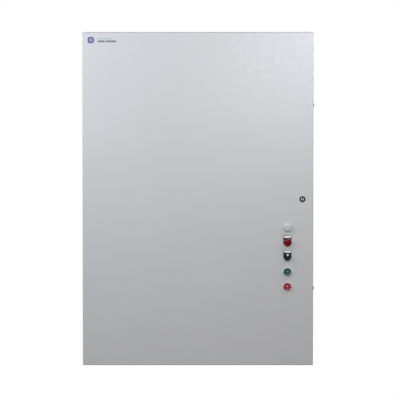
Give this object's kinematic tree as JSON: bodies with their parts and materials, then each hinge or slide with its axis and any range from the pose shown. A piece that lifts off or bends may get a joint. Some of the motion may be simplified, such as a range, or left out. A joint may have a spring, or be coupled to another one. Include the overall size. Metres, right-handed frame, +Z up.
{
  "type": "variable frequency drive",
  "caption": "Wall-mounted sheet-steel cabinet with a hinged, latched door and operator column, holding a motor speed drive, breaker, contactor and reactor.",
  "frame": {"origin": "centre of the four wall holes, on the plane of the cabinet's back face", "axes": "+Z up, +Y towards the wall, +X to the right of someone facing the door"},
  "size_m": [0.806, 0.3701, 1.161],
  "materials": {
    "door_paint": "satin powder coat, light grey",
    "cabinet_paint": "satin powder coat, light grey",
    "zinc_plate": "zinc plated, slightly spangled",
    "zinc_fastener": "bright zinc plated",
    "hinge_steel": "zinc plated pressings",
    "nickel": "nickel plated, worn at the slot",
    "gasket_foam": "black foamed polyurethane, matt",
    "plug_grey": "grey moulded plug",
    "filter_mat": "grey fibre mat in a black frame",
    "black_plastic": "fine-textured black polyamide",
    "bezel_metal": "satin nickel plated ring",
    "bezel_plastic": "black, satin, with a moulded rim",
    "white_diffuser": "translucent white, ribbed inside",
    "red_diffuser": "translucent dark red",
    "legend_white": "white laminate insert",
    "green_cap": "dark green moulding",
    "red_cap": "deep red moulding",
    "badge": "printed label, blue disc and grey bars",
    "grey_contact": "grey moulded contact blocks",
    "copper": "copper, lightly oxidised",
    "duct_pvc": "grey extruded duct",
    "extrusion": "mill finish extrusion",
    "chassis_paint": "dark grey textured paint",
    "cover_grey": "textured grey moulding",
    "cover_dark": "textured dark moulding",
    "keypad_black": "black moulding",
    "keypad_keys": "grey membrane keys and a dark display",
    "module_black": "black filled epoxy",
    "capacitor_sleeve": "dark blue shrink sleeve",
    "circuit_board": "green solder mask",
    "fan_black": "black glass-filled plastic",
    "terminal_black": "black phenolic",
    "breaker_black": "black moulded case",
    "lever_white": "off-white lever",
    "contactor_grey": "dark grey moulded case",
    "relay_dark": "dark grey sockets and smoked covers",
    "lamination": "varnished electrical steel laminations",
    "winding": "varnished winding with tape",
    "terminal_grey": "grey modular terminals"
  },
  "bodies": {
    "enclosure": {"cabinet_shell": "cabinet_paint", "gland_plate": "zinc_plate", "gland_plate_gasket": "gasket_foam", "gland_plate_screws": "zinc_fastener", "mounting_panel": "zinc_plate", "panel_nuts": "zinc_fastener", "blanking_plugs": "plug_grey", "vent_filters": "filter_mat", "hinge_body_leaves": "hinge_steel", "hinge_pins": "zinc_fastener", "earth_bar": "copper", "din_rails": "zinc_fastener", "wire_ducts": "duct_pvc", "drive_heatsink": "extrusion", "drive_chassis": "chassis_paint", "igbt_modules": "module_black", "dc_link_capacitors": "capacitor_sleeve", "dc_bus_bars": "copper", "control_board": "circuit_board", "drive_front_cover": "cover_grey", "drive_terminal_cover": "cover_dark", "keypad_housing": "keypad_black", "keypad_overlay": "keypad_keys", "drive_fan_frames": "black_plastic", "power_terminals": "terminal_black", "line_breaker": "breaker_black", "contactor_housing": "contactor_grey", "line_reactor_core": "lamination", "line_reactor_coils": "winding", "transformer_core": "lamination", "transformer_coils": "winding", "terminal_blocks": "terminal_grey", "control_relays": "relay_dark"},
    "door": {"door_panel": "door_paint", "door_gasket": "gasket_foam", "door_stiffeners": "zinc_plate", "hinge_door_leaves": "hinge_steel", "name_badge": "badge", "latch_housing": "black_plastic", "rod_guides": "black_plastic", "operator_bezels": "bezel_metal", "white_lens": "white_diffuser", "red_lens": "red_diffuser", "legend_frames": "bezel_plastic", "legend_inserts": "legend_white", "button_bezels": "bezel_metal", "button_springs": "zinc_fastener", "operator_lock_rings": "black_plastic", "contact_blocks": "grey_contact"},
    "latch": {"latch_insert": "nickel", "latch_cam": "zinc_fastener"},
    "upper_latch_rod": {"upper_rod": "zinc_fastener"},
    "lower_latch_rod": {"lower_rod": "zinc_fastener"},
    "selector": {"selector_knob": "bezel_plastic"},
    "start_button": {"green_button": "green_cap"},
    "stop_button": {"red_button": "red_cap"},
    "breaker_lever": {"breaker_toggle": "lever_white"},
    "contactor_bridge": {"contactor_armature": "contactor_grey"},
    "fan_left": {"drive_fan_rotor_left": "fan_black"},
    "fan_right": {"drive_fan_rotor_right": "fan_black"}
  },
  "joints": [
    {"name": "door_swing", "type": "hinge", "parent": "enclosure", "child": "door", "pos_m": [-0.395, -0.338, 0], "axis": [0, 0, -1], "range_deg": [0, 115]},
    {"name": "latch_turn", "type": "hinge", "parent": "door", "child": "latch", "pos_m": [0.362, -0.338, 0], "axis": [0, 1, 0], "range_deg": [0, 90]},
    {"name": "upper_rod_slide", "type": "slide", "parent": "door", "child": "upper_latch_rod", "axis": [0, 0, 1], "range_m": [0, 0.01697]},
    {"name": "lower_rod_slide", "type": "slide", "parent": "door", "child": "lower_latch_rod", "axis": [0, 0, -1], "range_m": [0, 0.0171]},
    {"name": "selector_turn", "type": "hinge", "parent": "door", "child": "selector", "pos_m": [0.31, -0.35, -0.2008], "axis": [0, 1, 0], "range_deg": [-45, 45]},
    {"name": "start_press", "type": "slide", "parent": "door", "child": "start_button", "axis": [0, 1, 0], "range_m": [0, 0.004], "stiffness_N_per_m": 900, "springref_m": -0.002, "deforming": ["button_springs"]},
    {"name": "stop_press", "type": "slide", "parent": "door", "child": "stop_button", "axis": [0, 1, 0], "range_m": [0, 0.004], "stiffness_N_per_m": 900, "springref_m": -0.002, "deforming": ["button_springs"]},
    {"name": "breaker_switch", "type": "hinge", "parent": "enclosure", "child": "breaker_lever", "pos_m": [0.14, -0.092, 0.36], "axis": [-1, 0, 0], "range_deg": [0, 56]},
    {"name": "contactor_pull", "type": "slide", "parent": "enclosure", "child": "contactor_bridge", "axis": [0, 1, 0], "range_m": [0, 0.005], "stiffness_N_per_m": 900, "springref_m": -0.002},
    {"name": "fan_left_spin", "type": "hinge", "parent": "enclosure", "child": "fan_left", "pos_m": [-0.234, -0.078, 0.45], "axis": [0, 0, 1], "continuous": true},
    {"name": "fan_right_spin", "type": "hinge", "parent": "enclosure", "child": "fan_right", "pos_m": [-0.094, -0.078, 0.45], "axis": [0, 0, 1], "continuous": true}
  ],
  "couplings": [
    {"joint": "latch_turn", "follows": "upper_rod_slide", "rad_per_m": 92.56},
    {"joint": "lower_rod_slide", "follows": "upper_rod_slide", "ratio": 1}
  ]
}
